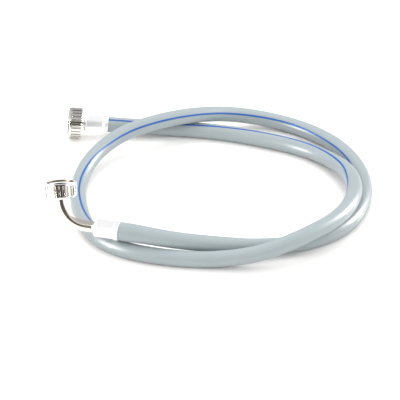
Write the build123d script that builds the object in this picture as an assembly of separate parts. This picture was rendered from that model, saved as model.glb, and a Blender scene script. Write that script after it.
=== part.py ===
"""Washing-machine inlet hose: a reinforced PVC hose with a straight and an elbow 3/4 inch swivel end.

Millimetres, +Z up, the floor at z = 0 and the origin under the middle of the loosely coiled hose.
Each end fitting is built about its own +Z axis: z = 0 is where the hose stops inside the ferrule,
the hose comes in from -Z and the fitting's mouth faces +Z. It is then placed on the hose's end.
"""
import math
import os

from build123d import *

# Hose
HOSE_OD = 16.0
COVER_WALL = 1.6
BRAID_WALL = 0.4
LINER_WALL = 1.0
STRIPE_WIDTH = 2.2
STRIPE_DEPTH = 0.5
STRIPE_ANGLE = 68.0          # round the hose, from the side that the first run's normal faces

# Ferrules, crimped with flats over a barbed insert
FERRULE_LENGTH = 24.5
FERRULE_WALL = 0.9
FERRULE_END_WALL = 1.5
FERRULE_FLATS = 8
FLAT_DEPTH = 0.35
LIP_LENGTH = 4.5
LIP_FLARE = 0.9              # how far the uncrimped lip stands out from the crimped body
LIP_GAP = 0.8                # air between the lip and the hose

# Insert and neck that both fittings share
TAIL_BORE = 7.6
INSERT_LENGTH = 20.0
BARB_PITCH = 3.6
BARB_DEPTH = 0.4
BARB_GROOVE = 0.7            # share of the pitch that the groove behind a barb takes
NECK_OD = 11.0
FLANGE_OD = 23.0
FLANGE_THICKNESS = 2.5

# Swivel nut, G 3/4
THREAD_MAJOR = 26.44
THREAD_MINOR = 24.12
NUT_OD = 31.5
NUT_LENGTH = 15.5
NUT_END_WALL = 2.5
NUT_NECK_CLEARANCE = 0.35    # radial, nut on neck
RELIEF_CLEARANCE = 0.1       # radial, of the undercut past the thread's major diameter
SEAT_ROOM = 0.3              # between the seated gasket and the thread's first turn
FLUTES = 24
FLUTE_DEPTH = 0.9
FLUTE_WIDTH = 1.9
FRONT_RIM = 2.6
REAR_COLLAR = 2.2
REAR_COLLAR_STEP = 1.6
RIM_CHAMFER = 0.5

# Gasket
GASKET_THICKNESS = 2.5
GASKET_BORE = 12.0
GASKET_CLEARANCE = 0.26      # radial, gasket in the thread

# Where the nuts rest along their necks: the straight one forward on its flange, the elbow one dropped back
STRAIGHT_FLOAT = 1.0         # between the straight nut and its ferrule
ELBOW_TRAVEL = 6.0           # that the elbow nut can rise until its end wall meets the collar
STOP_GAP = 0.1
SEAT_GAP = 0.05              # between a gasket and the face that it lies on

# Elbow
ELBOW_ANGLE = 80.0
ELBOW_RADIUS = 27.5
ELBOW_LEAD = 10.5            # straight tube between the hose stop and the bend
ELBOW_NUT_ABOVE_BEND = 1.5
ELBOW_TURNS_TOWARDS = (0.116, 0.335, 0.936)

# The hose's route: chosen points that runs and tangent arcs follow, with their heights in hose diameters
ROUTE = [
    (-133, 119.2, 0.95625), (-89, 122, 0.6625), (-43, 121, 0.5), (7, 114, 0.5), (53, 98, 0.5),
    (96, 78, 0.5), (123, 49, 0.8125), (140, 10, 1.625), (143, -41, 2.5), (125, -86, 2.5),
    (89, -121, 2.375), (47, -140, 1.4375), (0, -139, 0.5), (-47, -135, 0.5), (-93, -120, 0.5),
    (-122, -87, 0.5), (-134, -42, 0.5), (-137, 6, 0.5625), (-125, 48, 0.9375), (-97, 83, 1.625),
    (-59, 102, 2.5), (-17, 121, 2.5), (23, 140, 1.5625), (69, 137, 0.6875), (112, 108, 0.5),
    (140, 68, 0.5), (154, 20, 0.5), (152, -30, 0.5), (131, -78, 0.5), (94, -106, 0.5), (47, -115, 0.5),
    (3, -119, 0.8125), (-37, -122, 1.3125), (-75, -118.5, 1.625), (-114, -110.6, 1.75625),
]
ARC_SHARE = 0.45             # of the shorter run beside a corner that its arc takes

ROUTE_POINTS = [(x, y, height * HOSE_OD) for x, y, height in ROUTE]
LINER_ID = HOSE_OD - 2 * (COVER_WALL + BRAID_WALL + LINER_WALL)
LINER_OD = LINER_ID + 2 * LINER_WALL
BRAID_OD = LINER_OD + 2 * BRAID_WALL
INSERT_OD = LINER_ID
BODY_OD = HOSE_OD + 2 * FERRULE_WALL
LIP_OD = BODY_OD + 2 * LIP_FLARE
NUT_BORE = NECK_OD + 2 * NUT_NECK_CLEARANCE
GASKET_OD = THREAD_MINOR - 2 * GASKET_CLEARANCE

THREAD_CHAMFER = (THREAD_MAJOR - THREAD_MINOR) / 2
RELIEF_OD = THREAD_MAJOR + 2 * RELIEF_CLEARANCE
RELIEF_LENGTH = STOP_GAP + FLANGE_THICKNESS + SEAT_GAP + GASKET_THICKNESS + SEAT_ROOM
THREAD_LENGTH = NUT_LENGTH - NUT_END_WALL - RELIEF_LENGTH - THREAD_CHAMFER

STRAIGHT_NUT_REAR = FERRULE_END_WALL + STRAIGHT_FLOAT
STRAIGHT_FACE = STRAIGHT_NUT_REAR + NUT_END_WALL + STOP_GAP + FLANGE_THICKNESS
ELBOW_OUTLET = ELBOW_NUT_ABOVE_BEND + NUT_END_WALL + ELBOW_TRAVEL + STOP_GAP + FLANGE_THICKNESS


def hose_path():
    """Runs joined by tangent arcs, each as large as its two runs allow; prints the radii."""
    points = [Vector(p) for p in ROUTE_POINTS]
    radii = []
    for before, corner, after in zip(points, points[1:], points[2:]):
        shorter = min((corner - before).length, (after - corner).length)
        turn = math.radians((corner - before).get_angle(after - corner))
        radii.append(ARC_SHARE * shorter / math.tan(turn / 2))
    path = FilletPolyline(points, radius=radii)
    print("arc radii", [round(r) for r in radii], "length", round(path.length, 1))
    return path


def ring(outer, inner, low, high):
    """A plain ring about Z from low to high."""
    wall = Pos(0, 0, low) * extrude(Circle(outer / 2), high - low)
    return wall - Pos(0, 0, low) * extrude(Circle(inner / 2), high - low)


def turned(points):
    """A solid turned about Z from (radius, z) points."""
    return revolve(make_face(Polyline([(r, 0, z) for r, z in points], close=True)), Axis.Z)


def hose_section(outer, inner):
    return Circle(outer / 2) - Circle(inner / 2)


def stripe_section(start):
    """The stripe's patch of the hose wall, from its outside down to the stripe's depth."""
    half = STRIPE_WIDTH / HOSE_OD
    band = hose_section(HOSE_OD, HOSE_OD - 2 * STRIPE_DEPTH)
    reach = HOSE_OD
    wedge = make_face(Polyline([(0, 0), (reach, reach * math.tan(half)), (reach, -reach * math.tan(half))],
                               close=True))
    return start * Rot(0, 0, STRIPE_ANGLE) * (band & wedge)


def hose():
    """Liner, braid, cover and stripe, swept along one path."""
    path = hose_path()
    start = Plane(origin=path @ 0, z_dir=path % 0, x_dir=Vector(0, 0, 1).cross(path % 0)).location
    stripe = stripe_section(start)
    cover = start * hose_section(HOSE_OD, BRAID_OD) - stripe
    sections = {
        "hose_liner": start * hose_section(LINER_OD, LINER_ID),
        "hose_braid": start * hose_section(BRAID_OD, LINER_OD),
        "hose_cover": cover,
        "hose_stripe": stripe,
    }
    return {name: sweep(section, path=path) for name, section in sections.items()}


def insert():
    """The part of a tail inside the hose, with grooves that leave barbs standing."""
    body = ring(INSERT_OD, TAIL_BORE, -INSERT_LENGTH, FERRULE_END_WALL)
    for index in range(int((INSERT_LENGTH - BARB_PITCH) / BARB_PITCH)):
        foot = -BARB_PITCH * (index + 1)
        groove_end = foot - BARB_PITCH * BARB_GROOVE
        body -= turned([
            (INSERT_OD / 2 + BARB_DEPTH, foot), (INSERT_OD / 2, foot), (INSERT_OD / 2 - BARB_DEPTH, foot),
            (INSERT_OD / 2, groove_end), (INSERT_OD / 2 + BARB_DEPTH, groove_end),
        ])
    return body


def flange(face):
    """The sealing flange whose front face is at z = face."""
    return ring(FLANGE_OD, TAIL_BORE, face - FLANGE_THICKNESS, face)


def straight_tail():
    neck = ring(NECK_OD, TAIL_BORE, FERRULE_END_WALL, STRAIGHT_FACE)
    return insert() + neck + flange(STRAIGHT_FACE)


def ferrule():
    """A thin shell over the hose: an end wall, crimp flats, and an uncrimped lip."""
    back = FERRULE_END_WALL - FERRULE_LENGTH
    lip_start = back + LIP_LENGTH
    step = LIP_FLARE
    shell = turned([
        (INSERT_OD / 2, 0), (INSERT_OD / 2, FERRULE_END_WALL), (BODY_OD / 2 - FERRULE_WALL / 2, FERRULE_END_WALL),
        (BODY_OD / 2, FERRULE_END_WALL - FERRULE_WALL / 2), (BODY_OD / 2, lip_start), (LIP_OD / 2, lip_start - step),
        (LIP_OD / 2, back), (HOSE_OD / 2 + LIP_GAP, back), (HOSE_OD / 2 + LIP_GAP, lip_start - step),
        (HOSE_OD / 2, lip_start), (HOSE_OD / 2, 0),
    ])
    flat_length = -lip_start - FERRULE_WALL
    cutter = Pos(BODY_OD / 2 - FLAT_DEPTH + NUT_OD / 2, 0, -flat_length / 2 - FERRULE_WALL / 2)
    for index in range(FERRULE_FLATS):
        shell -= Rot(0, 0, 360 / FERRULE_FLATS * index) * cutter * Box(NUT_OD, NUT_OD, flat_length)
    return shell


def nut(rear):
    """The fluted swivel nut from z = rear: its thread is a bore at the minor diameter, with an undercut."""
    front = rear + NUT_LENGTH
    shoulder = rear + NUT_END_WALL
    relief_end = shoulder + RELIEF_LENGTH
    collar = NUT_OD / 2 - REAR_COLLAR_STEP
    body = turned([
        (NUT_BORE / 2, rear), (collar, rear), (collar, rear + REAR_COLLAR - REAR_COLLAR_STEP / 2),
        (NUT_OD / 2, rear + REAR_COLLAR), (NUT_OD / 2, front - RIM_CHAMFER), (NUT_OD / 2 - RIM_CHAMFER, front),
        (THREAD_MAJOR / 2, front), (THREAD_MINOR / 2, front - THREAD_CHAMFER), (THREAD_MINOR / 2, relief_end),
        (RELIEF_OD / 2, relief_end), (RELIEF_OD / 2, shoulder), (NUT_BORE / 2, shoulder),
    ])
    length = NUT_LENGTH - FRONT_RIM - REAR_COLLAR
    middle = rear + REAR_COLLAR + length / 2
    flute = Pos(NUT_OD / 2, 0, middle) * Box(2 * FLUTE_DEPTH, FLUTE_WIDTH, length)
    for index in range(FLUTES):
        body -= Rot(0, 0, 360 / FLUTES * index) * flute
    return body


def gasket(face):
    seat = face + SEAT_GAP
    return ring(GASKET_OD, GASKET_BORE, seat, seat + GASKET_THICKNESS)


def elbow_outlet():
    """Location of the bend's outlet, +Z along the outlet: the elbow turns from +Z towards +X."""
    return Pos(ELBOW_RADIUS, 0, ELBOW_LEAD) * Rot(0, ELBOW_ANGLE, 0) * Pos(-ELBOW_RADIUS, 0, 0)


def elbow_tube():
    """Insert, bent tube and straight outlet up to the flange's front face."""
    wall = hose_section(NECK_OD, TAIL_BORE)
    lead = ring(NECK_OD, TAIL_BORE, FERRULE_END_WALL, ELBOW_LEAD)
    bend = revolve(Pos(0, 0, ELBOW_LEAD) * wall, Axis((ELBOW_RADIUS, 0, ELBOW_LEAD), (0, 1, 0)), ELBOW_ANGLE)
    outlet = elbow_outlet() * ring(NECK_OD, TAIL_BORE, 0, ELBOW_OUTLET)
    return insert() + lead + bend + outlet


def elbow_collar():
    """The ring brazed on the bent tube's end as its sealing flange."""
    return elbow_outlet() * ring(FLANGE_OD, NECK_OD, ELBOW_OUTLET - FLANGE_THICKNESS, ELBOW_OUTLET)


def straight_end():
    return {
        "straight_tail": straight_tail(),
        "straight_ferrule": ferrule(),
        "straight_nut": nut(STRAIGHT_NUT_REAR),
        "straight_gasket": gasket(STRAIGHT_FACE),
    }


def elbow_end():
    return {
        "elbow_tube": elbow_tube(),
        "elbow_collar": elbow_collar(),
        "elbow_ferrule": ferrule(),
        "elbow_nut": elbow_outlet() * nut(ELBOW_NUT_ABOVE_BEND),
        "elbow_gasket": elbow_outlet() * gasket(ELBOW_OUTLET),
    }


def placed_on_hose(end, inner, towards):
    """Where a fitting sits: on the hose's end, facing away from it, its +X turned towards a direction."""
    axis = (Vector(end) - Vector(inner)).normalized()
    side = Vector(towards) - axis * Vector(towards).dot(axis)
    return Plane(origin=end, x_dir=side, z_dir=axis).location


def main():
    os.makedirs("parts", exist_ok=True)
    straight_place = placed_on_hose(ROUTE_POINTS[0], ROUTE_POINTS[1], (0, 0, 1))
    elbow_place = placed_on_hose(ROUTE_POINTS[-1], ROUTE_POINTS[-2], ELBOW_TURNS_TOWARDS)
    nodes = hose()
    nodes.update({name: straight_place * shape for name, shape in straight_end().items()})
    nodes.update({name: elbow_place * shape for name, shape in elbow_end().items()})
    for name, shape in nodes.items():
        export_step(shape, f"parts/{name}.step")
    for name, place, rear in (
        ("straight", straight_place, STRAIGHT_NUT_REAR),
        ("elbow", elbow_place * elbow_outlet(), ELBOW_NUT_ABOVE_BEND),
    ):
        axis = Plane(place).z_dir
        mouth = place * Pos(0, 0, rear + NUT_LENGTH)
        print(name, "nut mouth", [round(v, 3) for v in mouth.position], "axis", [round(v, 6) for v in axis])
    print("thread radius", THREAD_MINOR / 2, "length", round(THREAD_LENGTH, 3), "chamfer", round(THREAD_CHAMFER, 3))


main()
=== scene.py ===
"""Looks of a washing-machine inlet hose: a grey hose in a loose coil, with a straight and an elbow end."""
import math

import bmesh
import bpy
from bpy.props import FloatProperty, FloatVectorProperty, IntProperty, PointerProperty
from mathutils import Matrix, Vector


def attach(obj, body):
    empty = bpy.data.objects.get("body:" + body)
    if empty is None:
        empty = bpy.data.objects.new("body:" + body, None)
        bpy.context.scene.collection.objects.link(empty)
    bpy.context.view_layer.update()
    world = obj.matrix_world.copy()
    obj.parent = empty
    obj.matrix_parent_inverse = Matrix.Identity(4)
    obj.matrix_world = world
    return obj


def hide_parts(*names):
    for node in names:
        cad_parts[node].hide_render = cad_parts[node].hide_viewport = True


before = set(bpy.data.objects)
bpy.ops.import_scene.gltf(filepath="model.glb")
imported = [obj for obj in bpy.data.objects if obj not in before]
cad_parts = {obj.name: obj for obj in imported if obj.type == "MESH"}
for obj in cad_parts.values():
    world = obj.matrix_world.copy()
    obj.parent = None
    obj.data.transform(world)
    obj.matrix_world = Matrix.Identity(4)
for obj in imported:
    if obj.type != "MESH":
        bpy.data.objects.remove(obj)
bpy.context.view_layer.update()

bl_info = {
    "name": "Inlet hose",
    "version": (1, 0, 0),
    "blender": (4, 5, 0),
    "location": "3D View > Sidebar > Inlet hose",
    "description": "Builds a coiled inlet hose with its straight and elbow swivel fittings",
    "category": "Object",
}

MM = 0.001

# The hose's line, in millimetres. At the crossings it lies lower than the CAD tube: the laps nearly meet
ROUTE = [
    (-133, 119.2, 15.3), (-89, 122, 10.6), (-43, 121, 8), (7, 114, 8), (53, 98, 8), (96, 78, 8),
    (123, 49, 11), (140, 10, 19), (143, -41, 24.6), (125, -86, 24.6), (89, -121, 24.6), (47, -140, 16),
    (0, -138.5, 8), (-47, -134, 8), (-93, -118, 8), (-122, -87, 8), (-134, -42, 8), (-137, 6, 9),
    (-125, 48, 15), (-97, 83, 22), (-59, 102, 27), (-17, 121, 25), (23, 140, 15), (69, 137, 8),
    (112, 108, 8), (140, 68, 8), (154, 20, 8), (152, -30, 8), (131, -78, 8), (94, -106, 8),
    (47, -115, 8), (3, -118.3, 13.3), (-37, -122.5, 20.5), (-75, -118.5, 26), (-114, -110.6, 28.1),
]
LINE_STEPS = 12                     # points that the line is read at between two control points
HOSE_SIDES = 56
# How much the hose stands out, at distances from the elbow end and from the straight end
HOSE_SWELL = [(0, 0), (20, 0), (23.5, 1.0), (27, 1.3), (32, 1.35), (43, 1.0), (58, 0.6), (90, 0.3), (150, 0)]
STRAIGHT_SWELL = [(0, 0), (20, 0), (24, 0.15), (34, 0.1), (50, 0)]
STRIPE_STEPS = 6
STRIPE_PROUD = 0.04
STRIPE_DEPTH = 0.5
# Distances along the hose, and the stripe's degrees from its top towards the coil's middle
STRIPE_LINE = [
    (0, 22), (50, 25), (110, 23), (150, 12), (190, -3), (220, -5), (260, 6), (300, 28), (340, 52),
    (380, 76), (440, 105), (520, 120), (600, 95), (660, 55), (700, 25), (730, 9), (760, 6), (790, 16),
    (830, 38), (860, 54), (900, 60), (980, 60), (1020, 56), (1070, 48), (1120, 57), (1170, 55),
    (1220, 62), (1290, 78), (1370, 95), (1470, 112), (1580, 120),
]

# Fittings, each about its own +Z axis, in millimetres: 0 is where the hose stops inside the ferrule
BORE = 7.6
NECK = 11.0
FERRULE = 17.8
FERRULE_WALL = 0.9
FERRULE_HOLE = 12.8
FERRULE_LENGTH = 24.5
FERRULE_END = 1.5
FERRULE_SIDES = 72
FERRULE_FLATS = 8
FLAT_DEPTH = 0.5
FLAT_REACH = 20.5                   # degrees on each side of a flat's middle
LIP = 19.6
LIP_LENGTH = 4.5
LIP_BORE = 17.6
NUT_LENGTH = 15.5
NUT_BORE = 11.7
NUT_END_WALL = 2.5
NUT_RELIEF = 5.45
NUT_RIM = 2.4                       # plain at both ends of the ribs
NUT_STEPS = 8                       # sides to one rib and its groove
GROOVE_SLOPE = 0.22                 # from a groove's edge in to its bottom
NUT_EDGE = 0.16
THREAD_MAJOR = 26.44
THREAD_MINOR = 24.12
THREAD_PITCH = 1.814
THREAD_FILL = 0.9                   # share of the pitch that the ridge's foot covers
THREAD_SIDES = 64
STRAIGHT_NUT_REAR = 2.5
ELBOW_ANGLE = 80.0
ELBOW_RADIUS = 27.5
ELBOW_LEAD = 10.5
ELBOW_NUT_REAR = 1.5
ELBOW_OUTLET = 12.6
PIPE_GAP = 0.2                      # left free at the pipe's two ends
BEAD_HEIGHT = 0.45
BEAD = (2.2, 2.45, 2.9, 3.2)        # heights where the pipe's bead starts, is full, ends being full and stops
ELBOW_STEPS = 40
ELBOW_SIDES = 64
ELBOW_TOWARDS = (0.116, 0.335, 0.936)
STRAIGHT_TOWARDS = (0.0, 0.0, 1.0)
STRAIGHT_FERRULE_TURN = 20.0        # degrees that the flats are turned from the fitting's +X
ELBOW_FERRULE_TURN = 8.0

# Stage, in metres
CAMERA_AIM = (-0.013, -0.012, 0.0)
SENSOR_WIDTH = 36.0                 # millimetres
FLOOR_SIZE = 60.0
PANEL_DISTANCE = 1.9
SIDE_PANEL = (0.55, 1.0)
TOP_PANEL = (1.1, 0.9)
LEFT_FROM = (-0.90, -0.36, 0.24)
RIGHT_FROM = (0.89, 0.36, 0.34)
TOP_FROM = (0.0, 0.50, 0.87)
AIR_WHITE = (1.0, 1.0, 1.0)
AIR_GREY = (0.30, 0.30, 0.31)
AIR_DARK = (0.030, 0.022, 0.015)

BUMP = 0.0002                       # metres that a bump of 1 stands up
SMALLEST_EDGE = 0.002               # millimetres, below which an edge is closed up
MIX_SHARE, MIX_A, MIX_B, MIX_COLOUR = 0, 6, 7, 2    # a colour Mix node's sockets, whose names aren't unique


# ---------------------------------------------------------------- shader trees

class Wire:
    """An output socket; arithmetic on it adds Math nodes to its tree."""

    def __init__(self, tree, socket):
        self.tree = tree
        self.socket = socket

    def math(self, operation, *values):
        return self.tree.node("ShaderNodeMath", {"operation": operation}, dict(enumerate(values)))

    def __add__(self, other):
        return self.math("ADD", self, other)

    def __sub__(self, other):
        return self.math("SUBTRACT", self, other)

    def __rsub__(self, other):
        return self.math("SUBTRACT", other, self)

    def __mul__(self, other):
        return self.math("MULTIPLY", self, other)

    def __truediv__(self, other):
        return self.math("DIVIDE", self, other)

    def __neg__(self):
        return self.math("MULTIPLY", self, -1.0)

    __radd__ = __add__
    __rmul__ = __mul__

    def sine(self):
        return self.math("SINE", self)

    def power(self, exponent):
        return self.math("POWER", self, exponent)

    def size(self):
        return self.math("ABSOLUTE", self)

    def clamped(self):
        return self.tree.node("ShaderNodeClamp", {}, {"Value": self})

    def ramp(self, low, high):
        """0 at low, 1 at high, straight between them and level outside."""
        return ((self - low) / (high - low)).clamped()


class Tree:
    """A node tree and the one call that makes its nodes."""

    def __init__(self, owner):
        owner.use_nodes = True
        self.tree = owner.node_tree
        self.tree.nodes.clear()

    def node(self, kind, settings, sockets, output=0):
        node = self.tree.nodes.new(kind)
        for name, value in settings.items():
            setattr(node, name, value)
        for key, value in sockets.items():
            if isinstance(value, Wire):
                self.tree.links.new(value.socket, node.inputs[key])
            else:
                node.inputs[key].default_value = value
        return Wire(self, node.outputs[output]) if node.outputs else None

    def noise(self, place, scale, detail, roughness):
        return self.node("ShaderNodeTexNoise", {}, {
            "Vector": place, "Scale": scale, "Detail": detail, "Roughness": roughness})

    def blend(self, share, colour_a, colour_b):
        """Colour a where share is 0 and colour b where it is 1."""
        sockets = {MIX_SHARE: share, MIX_A: colour_a, MIX_B: colour_b}
        return self.node("ShaderNodeMix", {"data_type": "RGBA"}, sockets, output=MIX_COLOUR)

    def stretched(self, place, scale):
        return self.node("ShaderNodeMapping", {}, {"Vector": place, "Scale": scale})


class Finish(Tree):
    """A material: one Principled shader, its place wires and its output."""

    def __init__(self, name):
        self.material = bpy.data.materials.new(name)
        super().__init__(self.material)
        self.place = self.node("ShaderNodeTexCoord", {}, {}, output="Object")
        self.map = self.node("ShaderNodeTexCoord", {}, {}, output="UV")

    def bump(self, height, strength, distance=BUMP):
        return self.node("ShaderNodeBump", {}, {"Height": height, "Strength": strength, "Distance": distance})

    def shader(self, sockets):
        shader = self.node("ShaderNodeBsdfPrincipled", {}, sockets)
        self.node("ShaderNodeOutputMaterial", {}, {"Surface": shader})
        return self.material


def rgba(colour):
    return (*colour, 1.0)


def toned(colour, factor):
    return tuple(min(1.0, part * factor) for part in colour)


def pvc(name, colour, mottle):
    """Soft PVC: slightly mottled, with the braid's diagonal ghost under its skin and fine handling marks."""
    look = Finish(name)
    around = look.node("ShaderNodeSeparateXYZ", {}, {"Vector": look.map}, output="X")
    along = look.node("ShaderNodeSeparateXYZ", {}, {"Vector": look.map}, output="Y")
    turns, rate = 10, 430.0         # threads round the hose, and radians a metre along it
    one_way = (around * (2 * math.pi * turns) + along * rate).sine()
    other_way = (around * (2 * math.pi * turns) - along * rate).sine()
    ghost = one_way.size().power(6.0) + other_way.size().power(6.0)
    cloud = look.noise(look.place, 38.0, 4.0, 0.6)
    grain = look.noise(look.place, 900.0, 2.0, 0.6)
    marks = look.noise(look.stretched(look.map, (60.0, 9.0, 1.0)), 6.0, 5.0, 0.75)
    share = (cloud * 0.6 + grain * 0.3 + ghost * 0.16).clamped()
    base = look.blend(share, rgba(toned(colour, 1.0 - mottle)), rgba(toned(colour, 1.0 + mottle)))
    rough = 0.31 + cloud * 0.08 + marks.ramp(0.5, 0.8) * 0.10
    height = ghost * 0.05 + grain * 0.35 + cloud * 0.6
    return look.shader({
        "Base Color": base, "Roughness": rough, "IOR": 1.5,
        "Normal": look.bump(height, 0.25),
    })


def plated(name, colour, rough, wear):
    """Bright nickel plate: faint clouds, a few rubbed spots, and shallow waves that bend what it reflects."""
    look = Finish(name)
    cloud = look.noise(look.place, 90.0, 4.0, 0.6)
    speck = look.noise(look.place, 1400.0, 2.0, 0.5)
    rubbed = cloud.ramp(0.55, 0.75)
    base = look.blend(rubbed, rgba(colour), rgba(toned(colour, 0.90)))
    height = cloud * 0.5 + speck * 0.12
    return look.shader({
        "Base Color": base, "Metallic": 1.0, "Roughness": rough + rubbed * wear + speck * 0.03,
        "Normal": look.bump(height, 0.16),
    })


def shaded_inner_metal(name, colour, rough):
    """Unpolished metal inside the fittings, dark as painted shade for their hollows: dull, stained and a
    little pitted.
    """
    look = Finish(name)
    stain = look.noise(look.place, 260.0, 5.0, 0.7)
    base = look.blend(stain.ramp(0.35, 0.7), rgba(colour), rgba(toned(colour, 0.55)))
    return look.shader({
        "Base Color": base, "Metallic": 0.9, "Roughness": rough + stain * 0.15,
        "Normal": look.bump(stain, 0.4),
    })


def satin(name, colour, rough):
    """Satin plate on the crimped shells: fine drawn lines round them and a soft cloud of tone."""
    look = Finish(name)
    cloud = look.noise(look.place, 130.0, 3.0, 0.6)
    lines = look.noise(look.stretched(look.map, (4.0, 900.0, 1.0)), 3.0, 3.0, 0.6)
    base = look.blend(cloud, rgba(toned(colour, 0.95)), rgba(colour))
    return look.shader({
        "Base Color": base, "Metallic": 0.7, "Roughness": rough + lines * 0.08,
        "Normal": look.bump(lines * 0.5 + cloud * 0.5, 0.12, BUMP / 2),
    })


def rubber(name, colour, axis):
    """Moulded rubber: dusty and fine-grained, and near black as painted shade where its sides stand along its
    axis.
    """
    look = Finish(name)
    dust = look.noise(look.place, 220.0, 5.0, 0.7)
    grain = look.noise(look.place, 1800.0, 2.0, 0.6)
    facing = look.node("ShaderNodeTexCoord", {}, {}, output="Normal")
    flat = look.node("ShaderNodeVectorMath", {"operation": "DOT_PRODUCT"},
                     {0: facing, 1: tuple(axis)}, output="Value")
    dusty_rubber = look.blend(dust.ramp(0.4, 0.7), rgba(colour), rgba(toned(colour, 1.25)))
    # Painted shade: near black where the faces stand along the axis, as on the bore's wall.
    base = look.blend(1.0 - flat.size().ramp(0.3, 0.7), dusty_rubber, rgba(toned(colour, 0.05)))
    return look.shader({
        "Base Color": base, "Roughness": 0.55 + dust * 0.25,
        "Normal": look.bump(grain, 0.35),
    })


def floor_finish(name, colour):
    """White lacquered board, with hardly any texture."""
    look = Finish(name)
    cloud = look.noise(look.place, 3.0, 2.0, 0.5)
    base = look.blend(cloud, rgba(toned(colour, 0.985)), rgba(colour))
    return look.shader({"Base Color": base, "Roughness": 0.16 + cloud * 0.05})


# ---------------------------------------------------------------- modelling helpers

def work_on_nothing():
    if bpy.context.object is not None and bpy.context.object.mode != "OBJECT":
        bpy.ops.object.mode_set(mode="OBJECT")
    bpy.ops.object.select_all(action="DESELECT")


def edit(piece):
    """Opens a piece in edit mode with nothing selected and gives its mesh."""
    work_on_nothing()
    bpy.context.view_layer.objects.active = piece
    piece.select_set(True)
    bpy.ops.object.mode_set(mode="EDIT")
    bpy.ops.mesh.select_mode(type="VERT")
    bpy.ops.mesh.select_all(action="DESELECT")
    return bmesh.from_edit_mesh(piece.data)


def ring_to(radius, height, at):
    """Extrudes the selected ring to another radius and height."""
    old_radius, old_height = at
    bpy.ops.mesh.extrude_edges_move(TRANSFORM_OT_translate={"value": (0.0, 0.0, height - old_height)})
    if abs(radius - old_radius) > 1e-9:
        share = radius / old_radius
        bpy.ops.transform.resize(value=(share, share, 1.0), center_override=(0.0, 0.0, height))


def turned(name, profile, sides):
    """A closed turned ring about +Z: a circle extruded along (radius, height) points, then bridged."""
    points = [(radius * MM, height * MM) for radius, height in profile]
    work_on_nothing()
    bpy.ops.mesh.primitive_circle_add(vertices=sides, radius=points[0][0], fill_type="NOTHING")
    piece = bpy.context.object
    piece.name = piece.data.name = name
    edit(piece)
    bpy.ops.mesh.select_all(action="SELECT")
    bpy.ops.transform.translate(value=(0.0, 0.0, points[0][1]))
    bpy.ops.mesh.select_mode(type="EDGE")
    for before, after in zip(points, points[1:]):
        ring_to(*after, before)
    bpy.ops.mesh.select_all(action="DESELECT")
    bpy.ops.mesh.select_non_manifold(extend=False, use_wire=False, use_boundary=True,
                                     use_multi_face=False, use_non_contiguous=False, use_verts=False)
    bpy.ops.mesh.bridge_edge_loops()
    bpy.ops.mesh.select_all(action="SELECT")
    bpy.ops.mesh.normals_make_consistent(inside=False)
    work_on_nothing()
    return piece


def apply_modifiers(piece):
    work_on_nothing()
    bpy.context.view_layer.objects.active = piece
    piece.select_set(True)
    for modifier in list(piece.modifiers):
        bpy.ops.object.modifier_apply(modifier=modifier.name)


def softened(piece, width, angle):
    """Rounds the edges that are sharper than an angle in degrees, and closes up tiny ones left over."""
    bevel = piece.modifiers.new("edges", "BEVEL")
    bevel.width = width * MM
    bevel.segments = 2
    bevel.limit_method = "ANGLE"
    bevel.angle_limit = math.radians(angle)
    bevel.use_clamp_overlap = True
    apply_modifiers(piece)
    edit(piece)
    bpy.ops.mesh.select_all(action="SELECT")
    bpy.ops.mesh.dissolve_degenerate(threshold=SMALLEST_EDGE * MM)
    work_on_nothing()


def wrap_map(piece):
    """A map round and along a turned piece's own axis: turns round it, and metres along it."""
    layer = piece.data.uv_layers.active or piece.data.uv_layers.new(name="wrap")
    for face in piece.data.polygons:
        middle = math.atan2(face.center.y, face.center.x)
        for loop in face.loop_indices:
            point = piece.data.vertices[piece.data.loops[loop].vertex_index].co
            turn = math.atan2(point.y, point.x)
            turn += round((middle - turn) / (2 * math.pi)) * 2 * math.pi
            layer.data[loop].uv = (turn / (2 * math.pi), point.z)


def set_down(piece, place, material, body, smooth=28.0):
    """Smooths a piece, moves its mesh to its place, gives it its material and lets it ride."""
    work_on_nothing()
    bpy.context.view_layer.objects.active = piece
    piece.select_set(True)
    bpy.ops.object.shade_smooth_by_angle(angle=math.radians(smooth))
    piece.matrix_world = place
    bpy.ops.object.transform_apply(location=True, rotation=True, scale=True)
    piece.data.materials.clear()
    piece.data.materials.append(material)
    work_on_nothing()
    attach(piece, body)


def line_band(piece, material, place, radii, heights):
    """Gives another material to the faces between two distances from an axis and two heights along it."""
    piece.data.materials.append(material)
    back = place.inverted()
    for face in piece.data.polygons:
        spot = back @ face.center
        radius, height = math.hypot(spot.x, spot.y) / MM, spot.z / MM
        if radii[0] < radius < radii[1] and heights[0] < height < heights[1]:
            face.material_index = len(piece.data.materials) - 1


def finish_nut(nut, name, place, rear, sizes):
    """Gives a nut dark metal in its bore and duller, darker plate in the bottoms of its grooves, both
    darkenings painted shade.
    """
    bore = (0.0, THREAD_MAJOR / 2 + 0.2)
    # Painted shade: dark metal in the threaded bore.
    line_band(nut, shaded_inner_metal("shaded nut bore, " + name, sizes.inner_shade_colour, 0.3), place, bore,
              (rear + NUT_END_WALL, rear + NUT_LENGTH - 0.3))
    outside, depth = sizes.nut_diameter / MM / 2, sizes.rib_depth / MM
    grooves = (outside - depth * 1.1, outside - depth * 0.35)
    # Painted shade: darker plate in the groove bottoms between the ribs.
    line_band(nut, plated("shaded groove, " + name, sizes.groove_shade_colour, 0.24, 0.1), place, grooves,
              (rear + NUT_RIM, rear + NUT_LENGTH - NUT_RIM))


def dress(node, material):
    """Gives a CAD node a material of its own."""
    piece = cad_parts[node]
    piece.data.materials.clear()
    piece.data.materials.append(material)


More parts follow.
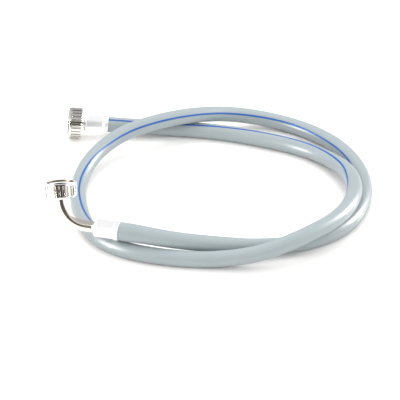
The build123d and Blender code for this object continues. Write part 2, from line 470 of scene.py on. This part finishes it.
def along(table, value):
    """The value of a table of (place, value) pairs at a place, on a smooth line through its pairs."""
    last = len(table) - 1
    index = next((i for i in range(last) if value <= table[i + 1][0]), last - 1)
    (low, before), (high, after) = table[index], table[index + 1]
    step = high - low
    slopes = []
    for middle in (index, index + 1):
        left, right = table[max(middle - 1, 0)], table[min(middle + 1, last)]
        slopes.append((right[1] - left[1]) / (right[0] - left[0]) * step)
    share = min(1.0, max(0.0, (value - low) / step))
    square, cube = share * share, share * share * share
    return (before * (2 * cube - 3 * square + 1) + slopes[0] * (cube - 2 * square + share)
            + after * (3 * square - 2 * cube) + slopes[1] * (cube - square))


def seat(end, inner, towards):
    """The frame of a fitting: +Z out of the hose's end, +X turned towards a direction."""
    axis = (Vector(end) - Vector(inner)).normalized()
    side = Vector(towards)
    side = (side - axis * side.dot(axis)).normalized()
    other = axis.cross(side)
    place = Matrix((side, other, axis)).transposed().to_4x4()
    place.translation = Vector(end) * MM
    return place


def straight_place():
    return seat(ROUTE[0], ROUTE[1], STRAIGHT_TOWARDS)


def elbow_place():
    return seat(ROUTE[-1], ROUTE[-2], ELBOW_TOWARDS)


def elbow_outlet():
    swing = Matrix.Rotation(math.radians(ELBOW_ANGLE), 4, "Y")
    out = Matrix.Translation((ELBOW_RADIUS * MM, 0.0, ELBOW_LEAD * MM))
    back = Matrix.Translation((-ELBOW_RADIUS * MM, 0.0, 0.0))
    return elbow_place() @ out @ swing @ back


def axis_of(place):
    return place.to_3x3().col[2]


# ---------------------------------------------------------------- hose

def hose_line():
    """Points read from one smooth spline through the route's control points."""
    curve = bpy.data.curves.new("hose_line", "CURVE")
    curve.dimensions = "3D"
    curve.resolution_u = LINE_STEPS
    spline = curve.splines.new("NURBS")
    spline.points.add(len(ROUTE) - 1)
    for point, place in zip(spline.points, ROUTE):
        point.co = (*(Vector(place) * MM), 1.0)
    spline.order_u = 3
    spline.use_endpoint_u = True
    line = bpy.data.objects.new("hose_line", curve)
    bpy.context.scene.collection.objects.link(line)
    bpy.context.view_layer.update()
    read = bpy.data.meshes.new_from_object(line)
    points = [vertex.co.copy() for vertex in read.vertices]
    bpy.data.objects.remove(line)
    bpy.data.curves.remove(curve)
    bpy.data.meshes.remove(read)
    return points


def stations(points):
    """For each point of a line: the way run so far, and the directions up and towards the coil's middle."""
    run, rows = 0.0, []
    for index, point in enumerate(points):
        ahead = points[min(index + 1, len(points) - 1)]
        behind = points[max(index - 1, 0)]
        if index:
            run += (point - points[index - 1]).length
        forward = (ahead - behind).normalized()
        top = (Vector((0, 0, 1)) - forward * forward.z).normalized()
        rows.append((point, run, top, forward.cross(top)))
    return rows


def swept(name, rows, section):
    """A closed solid swept along stations; section(run) gives points of (radius, angle, turn of the map)."""
    mesh = bpy.data.meshes.new(name)
    piece = bpy.data.objects.new(name, mesh)
    bpy.context.scene.collection.objects.link(piece)
    work = bmesh.new()
    layer = work.loops.layers.uv.new("wrap")
    rings, maps = [], []
    for point, run, top, inner in rows:
        ring = section(run)
        rings.append([work.verts.new(point + (top * math.cos(angle) + inner * math.sin(angle)) * radius)
                      for radius, angle, turn in ring])
        maps.append([(turn, run) for radius, angle, turn in ring])
    sides = len(rings[0])
    for ring, following, low, high in zip(rings, rings[1:], maps, maps[1:]):
        for side in range(sides):
            nxt = (side + 1) % sides
            face = work.faces.new((ring[side], following[side], following[nxt], ring[nxt]))
            face.smooth = True
            wrapped = 1.0 if nxt == 0 and low[side][0] > 0.5 else 0.0
            places = (low[side], high[side], (high[nxt][0] + wrapped, high[nxt][1]),
                      (low[nxt][0] + wrapped, low[nxt][1]))
            for loop, place in zip(face.loops, places):
                loop[layer].uv = place
    for end in (rings[0], rings[-1]):
        work.faces.new(end)
    bmesh.ops.recalc_face_normals(work, faces=work.faces)
    work.to_mesh(mesh)
    work.free()
    return piece


class INLET_OT_hose(bpy.types.Operator):
    bl_idname = "inlet.hose"
    bl_label = "Hose"

    def execute(self, context):
        sizes = context.scene.inlet_hose
        points = hose_line()
        rows = stations(points)
        length = rows[-1][1]
        radius = sizes.diameter / 2

        def swell(run):
            near = along(STRAIGHT_SWELL, run / MM)
            far = along(HOSE_SWELL, (length - run) / MM)
            return radius + (near + far) * MM

        def stripe_angle(run):
            return math.radians(along(STRIPE_LINE, run / MM))

        def round_section(run):
            start = stripe_angle(run)
            return [(swell(run), start + 2 * math.pi * side / HOSE_SIDES, side / HOSE_SIDES)
                    for side in range(HOSE_SIDES)]

        def stripe_section(run):
            half = sizes.stripe_width / 2 / swell(run)
            middle = stripe_angle(run)
            outside = [(swell(run) + STRIPE_PROUD * MM, middle + half * (2 * step / STRIPE_STEPS - 1),
                        step / STRIPE_STEPS / 2) for step in range(STRIPE_STEPS + 1)]
            inside = [(swell(run) - STRIPE_DEPTH * MM, middle + half * (1 - 2 * step), step / 2)
                      for step in range(2)]
            return outside + inside

        hose = swept("hose_tube", rows, round_section)
        hose.data.materials.append(pvc("grey PVC", sizes.colour, 0.05))
        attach(hose, "hose")
        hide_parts("hose_cover", "hose_braid", "hose_liner")
        stripe = swept("blue_stripe", rows, stripe_section)
        stripe.data.materials.append(pvc("blue PVC", sizes.stripe_colour, 0.10))
        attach(stripe, "hose")
        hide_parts("hose_stripe")
        lip = straight_place() @ Vector((0.0, 0.0, (FERRULE_END - FERRULE_LENGTH) * MM))
        return {"FINISHED"}


# ---------------------------------------------------------------- fittings

def crimped_shell(name, turn):
    """A ferrule: a thin shell with eight crimped flats, an open lip and a rounded end."""
    back = FERRULE_END - FERRULE_LENGTH
    lip_start = back + LIP_LENGTH
    body, lip, hole = FERRULE / 2, LIP / 2, FERRULE_HOLE / 2
    inside = body - FERRULE_WALL
    profile = [
        (NECK / 2 + 0.05, 0.0), (NECK / 2 + 0.05, FERRULE_END), (hole - 0.1, FERRULE_END),
        (hole, FERRULE_END - 0.15), (hole, FERRULE_END - 0.5),
        (body - 1.0, FERRULE_END - 0.5), (body - 0.4, FERRULE_END - 0.7), (body - 0.1, FERRULE_END - 1.1),
        (body, FERRULE_END - 1.6), (body, FERRULE_END - 2.1), (body, lip_start + 1.1),
        (body, lip_start + 0.5), (body + 0.2, lip_start + 0.2), (lip - 0.2, lip_start - 0.3),
        (lip, lip_start - 0.6), (lip, back + 0.3), (lip - 0.12, back + 0.08), (lip - 0.3, back),
        (LIP_BORE / 2 + 0.2, back), (LIP_BORE / 2, back + 0.2), (LIP_BORE / 2, lip_start - 0.9),
        (inside, lip_start), (inside, 0.0),
    ]
    shell = turned(name, profile, FERRULE_SIDES)
    mesh = edit(shell)
    step = math.radians(360 / FERRULE_FLATS)
    low, high = (lip_start + 0.8) * MM, (FERRULE_END - 1.8) * MM
    for _ in range(FERRULE_FLATS):
        for vertex in mesh.verts:
            spot = vertex.co
            facing = abs(math.degrees(math.atan2(spot.y, spot.x))) < FLAT_REACH
            outside = math.hypot(spot.x, spot.y) > (body - FLAT_DEPTH - 0.2) * MM
            vertex.select = facing and outside and low < spot.z < high
        mesh.select_flush_mode()
        bmesh.update_edit_mesh(shell.data)
        bpy.ops.transform.resize(value=(0.0, 1.0, 1.0), center_override=((body - FLAT_DEPTH) * MM, 0.0, 0.0))
        bpy.ops.mesh.select_all(action="SELECT")
        bpy.ops.transform.rotate(value=step, orient_axis="Z", center_override=(0.0, 0.0, 0.0))
        mesh = bmesh.from_edit_mesh(shell.data)
    bpy.ops.mesh.select_all(action="SELECT")
    bpy.ops.transform.rotate(value=math.radians(turn), orient_axis="Z", center_override=(0.0, 0.0, 0.0))
    work_on_nothing()
    wrap_map(shell)
    return shell


def thread_ridge(name, low, high):
    """The thread's ridge, a three-sided profile screwed up the bore."""
    work_on_nothing()
    bpy.ops.mesh.primitive_circle_add(vertices=3, radius=0.5 * MM, fill_type="NOTHING")
    ridge = bpy.context.object
    ridge.name = ridge.data.name = name
    mesh = edit(ridge)
    root, crest = (THREAD_MAJOR / 2 + 0.05) * MM, (THREAD_MINOR / 2 + 0.15) * MM
    foot = THREAD_PITCH * THREAD_FILL
    corners = [(root, low * MM), (crest, (low + foot / 2) * MM), (root, (low + foot) * MM)]
    mesh.verts.ensure_lookup_table()
    for vertex, (radius, height) in zip(mesh.verts, corners):
        vertex.co = (radius, 0.0, height)
    bmesh.update_edit_mesh(ridge.data)
    work_on_nothing()
    screw = ridge.modifiers.new("thread", "SCREW")
    screw.axis = "Z"
    screw.screw_offset = THREAD_PITCH * MM
    screw.iterations = max(1, int((high - low) / THREAD_PITCH))
    screw.steps = screw.render_steps = THREAD_SIDES
    screw.use_merge_vertices = False
    apply_modifiers(ridge)
    edit(ridge)
    bpy.ops.mesh.select_non_manifold(extend=False, use_wire=False, use_boundary=True,
                                     use_multi_face=False, use_non_contiguous=False, use_verts=False)
    bpy.ops.mesh.edge_face_add()
    bpy.ops.mesh.select_all(action="SELECT")
    bpy.ops.mesh.normals_make_consistent(inside=False)
    work_on_nothing()
    return ridge


def ribbed_nut(name, rear, diameter, ribs, depth):
    """A swivel nut: grooves between raised ribs, plain rims, a stepped back and an inside thread."""
    outside = diameter / 2
    front = rear + NUT_LENGTH
    shoulder = rear + NUT_END_WALL
    relief = shoulder + NUT_RELIEF
    low, high = rear + NUT_RIM, front - NUT_RIM
    thread = THREAD_MAJOR / 2
    profile = [
        (NUT_BORE / 2, rear + 0.3), (NUT_BORE / 2 + 0.3, rear), (outside - 2.6, rear),
        (outside - 1.9, rear + 0.25), (outside - 1.5, rear + 0.8), (outside - 0.35, rear + 1.7),
        (outside, rear + 2.1), (outside, low), (outside, high), (outside, front - 0.7),
        (outside - 0.2, front - 0.25), (outside - 0.6, front), (thread + 0.45, front),
        (thread + 0.1, front - 0.25), (thread, front - 0.7), (thread, relief),
        (thread + 0.1, relief - 0.2), (thread + 0.1, shoulder), (NUT_BORE / 2 + 0.3, shoulder),
        (NUT_BORE / 2, shoulder - 0.3),
    ]
    sides = ribs * NUT_STEPS
    nut = turned(name, profile, sides)
    edit(nut)
    bpy.ops.mesh.select_mode(type="FACE")
    mesh = bmesh.from_edit_mesh(nut.data)
    pitch = 2 * math.pi / ribs
    half = pitch / NUT_STEPS * 2
    for face in mesh.faces:
        middle = face.calc_center_median()
        turn = math.atan2(middle.y, middle.x) % pitch
        on_side = math.hypot(middle.x, middle.y) > (outside - 0.1) * MM
        in_span = low * MM < middle.z < high * MM
        face.select_set(on_side and in_span and abs(turn - pitch / 2) < half)
    bmesh.update_edit_mesh(nut.data)
    bpy.ops.mesh.inset(thickness=GROOVE_SLOPE * MM, depth=-depth * MM)
    work_on_nothing()
    softened(nut, NUT_EDGE, 25.0)
    ridge = thread_ridge(name + "_thread", relief, front - 0.5)
    ridge.select_set(True)
    nut.select_set(True)
    bpy.context.view_layer.objects.active = nut
    bpy.ops.object.join()
    return nut


def bent_pipe(name):
    """The elbow's pipe: a ring drawn out of the ferrule, swung round the bend and out to the flange."""
    work_on_nothing()
    start = PIPE_GAP * MM
    bpy.ops.mesh.primitive_circle_add(vertices=ELBOW_SIDES, radius=NECK / 2 * MM, fill_type="NOTHING")
    pipe = bpy.context.object
    pipe.name = pipe.data.name = name
    edit(pipe)
    bpy.ops.mesh.select_all(action="SELECT")
    bpy.ops.transform.translate(value=(0.0, 0.0, start))
    bpy.ops.mesh.select_mode(type="EDGE")
    at = (NECK / 2 * MM, start)
    neck, crown = NECK / 2, NECK / 2 + BEAD_HEIGHT
    for radius, height in zip((neck, crown, crown, neck, neck), (*BEAD, ELBOW_LEAD)):
        ring_to(radius * MM, height * MM, at)
        at = (radius * MM, height * MM)
    bpy.ops.mesh.spin(steps=ELBOW_STEPS, angle=-math.radians(ELBOW_ANGLE), use_auto_merge=False,
                      center=(ELBOW_RADIUS * MM, 0.0, ELBOW_LEAD * MM), axis=(0.0, 1.0, 0.0))
    turn = math.radians(ELBOW_ANGLE)
    straight = Vector((math.sin(turn), 0.0, math.cos(turn))) * (ELBOW_OUTLET - PIPE_GAP) * MM
    bpy.ops.mesh.extrude_edges_move(TRANSFORM_OT_translate={"value": tuple(straight)})
    bpy.ops.mesh.select_all(action="SELECT")
    bpy.ops.mesh.remove_doubles(threshold=1e-6)
    bpy.ops.mesh.normals_make_consistent(inside=False)
    work_on_nothing()
    wall = pipe.modifiers.new("wall", "SOLIDIFY")
    wall.thickness = (NECK - BORE) / 2 * MM
    wall.offset = -1.0
    apply_modifiers(pipe)
    return pipe


class INLET_OT_straight_end(bpy.types.Operator):
    """Builds the straight end: its crimped shell and its ribbed nut, and finishes its tail and gasket"""

    bl_idname = "inlet.straight_end"
    bl_label = "Straight end"

    def execute(self, context):
        sizes = context.scene.inlet_fittings
        place = straight_place()
        shell = crimped_shell("straight_shell", STRAIGHT_FERRULE_TURN)
        set_down(shell, place, satin("satin shell, straight", sizes.shell_colour, 0.38), "hose", smooth=20.0)
        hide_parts("straight_ferrule")
        nut = ribbed_nut("straight_ribbed_nut", STRAIGHT_NUT_REAR, sizes.nut_diameter / MM, sizes.ribs,
                         sizes.rib_depth / MM)
        nickel = plated("nickel nut, straight", sizes.nickel_colour, 0.10, 0.08)
        set_down(nut, place, nickel, "straight_coupling")
        finish_nut(nut, "straight", place, STRAIGHT_NUT_REAR, sizes)
        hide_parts("straight_nut")
        dress("straight_tail", plated("nickel tail", sizes.nickel_colour, 0.12, 0.05))
        dress("straight_gasket", rubber("gasket rubber, straight", sizes.gasket_colour, axis_of(place)))
        return {"FINISHED"}


class INLET_OT_elbow_end(bpy.types.Operator):
    """Builds the elbow end: its shell, bent pipe and ribbed nut, and finishes its collar and gasket"""

    bl_idname = "inlet.elbow_end"
    bl_label = "Elbow end"

    def execute(self, context):
        sizes = context.scene.inlet_fittings
        shell = crimped_shell("elbow_shell", ELBOW_FERRULE_TURN)
        steel = satin("satin shell, elbow", sizes.shell_colour, 0.38)
        set_down(shell, elbow_place(), steel, "hose", smooth=20.0)
        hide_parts("elbow_ferrule")
        pipe = bent_pipe("elbow_pipe")
        plate = plated("nickel pipe", sizes.pipe_colour, 0.20, 0.06)
        set_down(pipe, elbow_place(), plate, "hose", smooth=40.0)
        # Painted shade: dark metal inside the pipe's outlet.
        line_band(pipe, shaded_inner_metal("shaded pipe bore", sizes.inner_shade_colour, 0.45), elbow_outlet(),
                  (0.0, NECK / 2 - 0.1), (0.5, ELBOW_OUTLET + 1.0))
        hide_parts("elbow_tube")
        nut = ribbed_nut("elbow_ribbed_nut", ELBOW_NUT_REAR, sizes.nut_diameter / MM, sizes.ribs,
                         sizes.rib_depth / MM)
        nickel = plated("nickel nut, elbow", sizes.nickel_colour, 0.10, 0.08)
        set_down(nut, elbow_outlet(), nickel, "elbow_coupling")
        finish_nut(nut, "elbow", elbow_outlet(), ELBOW_NUT_REAR, sizes)
        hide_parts("elbow_nut")
        # Painted shade: the collar, in the gap behind the shell, gets the dark inner metal at half its
        # colour.
        dress("elbow_collar", shaded_inner_metal("shaded collar", toned(sizes.inner_shade_colour, 0.5), 0.4))
        dress("elbow_gasket", rubber("gasket rubber, elbow", sizes.gasket_colour, axis_of(elbow_outlet())))
        return {"FINISHED"}


# ---------------------------------------------------------------- stage

def panel_light(name, direction, size, watts, glint_only):
    """A large soft panel facing the coil's middle, seen only as a glint on glossy pieces or only as light."""
    data = bpy.data.lights.new(name, "AREA")
    data.shape = "RECTANGLE"
    data.size, data.size_y = size
    data.energy = watts
    light = bpy.data.objects.new(name, data)
    bpy.context.scene.collection.objects.link(light)
    towards = Vector(direction).normalized()
    light.location = towards * PANEL_DISTANCE
    light.rotation_euler = towards.to_track_quat("Z", "Y").to_euler()
    light.visible_camera = False
    light.visible_diffuse = not glint_only
    light.visible_glossy = glint_only


def studio_air(strength):
    """White all round; glossy pieces pick up a greyer ceiling and back, and a low dark stretch in front."""
    world = bpy.data.worlds.new("studio air")
    bpy.context.scene.world = world
    air = Tree(world)
    way = air.node("ShaderNodeTexCoord", {}, {}, output="Generated")
    x = air.node("ShaderNodeSeparateXYZ", {}, {"Vector": way}, output="X")
    y = air.node("ShaderNodeSeparateXYZ", {}, {"Vector": way}, output="Y")
    z = air.node("ShaderNodeSeparateXYZ", {}, {"Vector": way}, output="Z")
    glint = air.node("ShaderNodeLightPath", {}, {}, output="Is Glossy Ray")
    back = y.ramp(0.25, 0.60) * (1.0 - x.size().ramp(0.5, 0.8))
    ceiling = z.ramp(0.72, 0.85)
    grey = 1.0 - (1.0 - back) * (1.0 - ceiling)
    dark = (-y).ramp(0.20, 0.55) * (1.0 - x.size().ramp(0.50, 0.82)) * (1.0 - z.ramp(0.58, 0.82))
    walls = air.blend(grey * glint, rgba(AIR_WHITE), rgba(AIR_GREY))
    colour = air.blend(dark * glint, walls, rgba(AIR_DARK))
    light = air.node("ShaderNodeBackground", {}, {"Color": colour, "Strength": strength})
    air.node("ShaderNodeOutputWorld", {}, {"Surface": light})


class INLET_OT_stage(bpy.types.Operator):
    """Sets up the white floor, the soft lights and the camera"""

    bl_idname = "inlet.stage"
    bl_label = "Stage"

    def execute(self, context):
        look = context.scene.inlet_stage
        work_on_nothing()
        bpy.ops.mesh.primitive_plane_add(size=FLOOR_SIZE)
        floor = context.object
        floor.name = floor.data.name = "floor"
        floor.data.materials.append(floor_finish("white floor", look.floor_colour))
        studio_air(look.air)
        panel_light("left panel", LEFT_FROM, SIDE_PANEL, look.side_light, glint_only=True)
        panel_light("right panel", RIGHT_FROM, SIDE_PANEL, look.side_light, glint_only=True)
        panel_light("top panel", TOP_FROM, TOP_PANEL, look.top_light, glint_only=False)
        camera = bpy.data.objects.new("camera", bpy.data.cameras.new("camera"))
        context.scene.collection.objects.link(camera)
        rise = look.camera_rise
        back = Vector((0.0, -math.cos(rise), math.sin(rise)))
        camera.location = Vector(CAMERA_AIM) + back * look.camera_distance
        camera.rotation_euler = back.to_track_quat("Z", "Y").to_euler()
        camera.data.lens = look.lens
        camera.data.sensor_width = SENSOR_WIDTH
        context.scene.camera = camera
        context.scene.view_settings.view_transform = "Standard"
        context.scene.view_settings.look = "None"
        return {"FINISHED"}


# ---------------------------------------------------------------- settings and panel

class InletHoseSettings(bpy.types.PropertyGroup):
    diameter: FloatProperty(name="Diameter", description="Outside diameter of the hose", default=0.016,
                            min=0.01, max=0.02, subtype="DISTANCE")
    stripe_width: FloatProperty(name="Stripe width", description="Width of the coloured stripe",
                                default=0.0020, min=0.0005, max=0.006, subtype="DISTANCE")
    colour: FloatVectorProperty(name="Hose colour", description="Colour of the hose's cover",
                                default=(0.298, 0.343, 0.357), size=3, min=0.0, max=1.0, subtype="COLOR")
    stripe_colour: FloatVectorProperty(name="Stripe colour", description="Colour of the stripe",
                                       default=(0.011, 0.098, 0.365),
                                       size=3, min=0.0, max=1.0, subtype="COLOR")


class InletFittingSettings(bpy.types.PropertyGroup):
    nut_diameter: FloatProperty(name="Nut diameter", description="Diameter over the ribs", default=0.0315,
                                min=0.03, max=0.034, subtype="DISTANCE")
    ribs: IntProperty(name="Ribs", description="Number of ribs round a nut", default=24, min=12, max=40)
    rib_depth: FloatProperty(name="Rib depth", description="Depth of the grooves between ribs",
                             default=0.0009, min=0.0003, max=0.0015, subtype="DISTANCE")
    nickel_colour: FloatVectorProperty(name="Nickel colour", description="Colour of the bright plate",
                                       default=(0.90, 0.885, 0.86),
                                       size=3, min=0.0, max=1.0, subtype="COLOR")
    pipe_colour: FloatVectorProperty(name="Pipe colour",
                                     description="Colour of the bent pipe's warmer plate",
                                     default=(0.91, 0.865, 0.79), size=3, min=0.0, max=1.0, subtype="COLOR")
    # Painted shade: the dark colour of the metal inside the fittings.
    inner_shade_colour: FloatVectorProperty(name="Inner shade colour",
                                     description="Colour of the metal inside the fittings",
                                     default=(0.20, 0.17, 0.14), size=3, min=0.0, max=1.0, subtype="COLOR")
    # Painted shade: the darker plate in the grooves between the ribs.
    groove_shade_colour: FloatVectorProperty(name="Groove colour",
                                       description="Colour of the plate between the ribs",
                                       default=(0.56, 0.53, 0.49),
                                       size=3, min=0.0, max=1.0, subtype="COLOR")
    shell_colour: FloatVectorProperty(name="Shell colour", description="Colour of the satin crimped shells",
                                      default=(0.96, 0.96, 0.955),
                                      size=3, min=0.0, max=1.0, subtype="COLOR")
    gasket_colour: FloatVectorProperty(name="Gasket colour", description="Colour of the gaskets",
                                       default=(0.62, 0.62, 0.60),
                                       size=3, min=0.0, max=1.0, subtype="COLOR")


class InletStageSettings(bpy.types.PropertyGroup):
    floor_colour: FloatVectorProperty(name="Floor colour", description="Colour of the floor",
                                      default=(0.95, 0.935, 0.915),
                                      size=3, min=0.0, max=1.0, subtype="COLOR")
    air: FloatProperty(name="Air", description="Strength of the light from all round", default=1.55,
                       min=0.0, max=4.0)
    side_light: FloatProperty(name="Side lights", description="Power of each side panel", default=64.0,
                              min=0.0, max=400.0, unit="POWER")
    top_light: FloatProperty(name="Top light", description="Power of the panel above", default=13.0,
                             min=0.0, max=400.0, unit="POWER")
    camera_distance: FloatProperty(name="Camera distance", description="From the aim to the camera",
                                   default=2.7, min=0.5, max=10.0, subtype="DISTANCE")
    camera_rise: FloatProperty(name="Camera rise", description="Angle of the camera above the floor",
                               default=math.radians(31.0), min=0.0, max=math.pi / 2, subtype="ANGLE")
    lens: FloatProperty(name="Lens", description="Focal length in millimetres", default=240.6,
                        min=20.0, max=600.0)


class INLET_PT_panel(bpy.types.Panel):
    """Lists the pieces and their settings"""

    bl_idname = "INLET_PT_panel"
    bl_label = "Inlet hose"
    bl_space_type = "VIEW_3D"
    bl_region_type = "UI"
    bl_category = "Inlet hose"

    def draw(self, context):
        for group in (context.scene.inlet_hose, context.scene.inlet_fittings, context.scene.inlet_stage):
            box = self.layout.box()
            for name in group.__annotations__:
                box.prop(group, name)
        for operator in STEPS:
            self.layout.operator(operator.bl_idname)


STEPS = (INLET_OT_stage, INLET_OT_straight_end, INLET_OT_elbow_end, INLET_OT_hose)
SETTINGS = {"inlet_hose": InletHoseSettings, "inlet_fittings": InletFittingSettings,
            "inlet_stage": InletStageSettings}


def register():
    for kind in (*SETTINGS.values(), *STEPS, INLET_PT_panel):
        bpy.utils.register_class(kind)
    for name, kind in SETTINGS.items():
        setattr(bpy.types.Scene, name, PointerProperty(type=kind))


def unregister():
    for name in SETTINGS:
        delattr(bpy.types.Scene, name)
    for kind in reversed((*SETTINGS.values(), *STEPS, INLET_PT_panel)):
        bpy.utils.unregister_class(kind)


def main():
    register()
    bpy.ops.inlet.stage()
    bpy.ops.inlet.straight_end()
    bpy.ops.inlet.elbow_end()
    bpy.ops.inlet.hose()


if __name__ == "__main__":
    main()
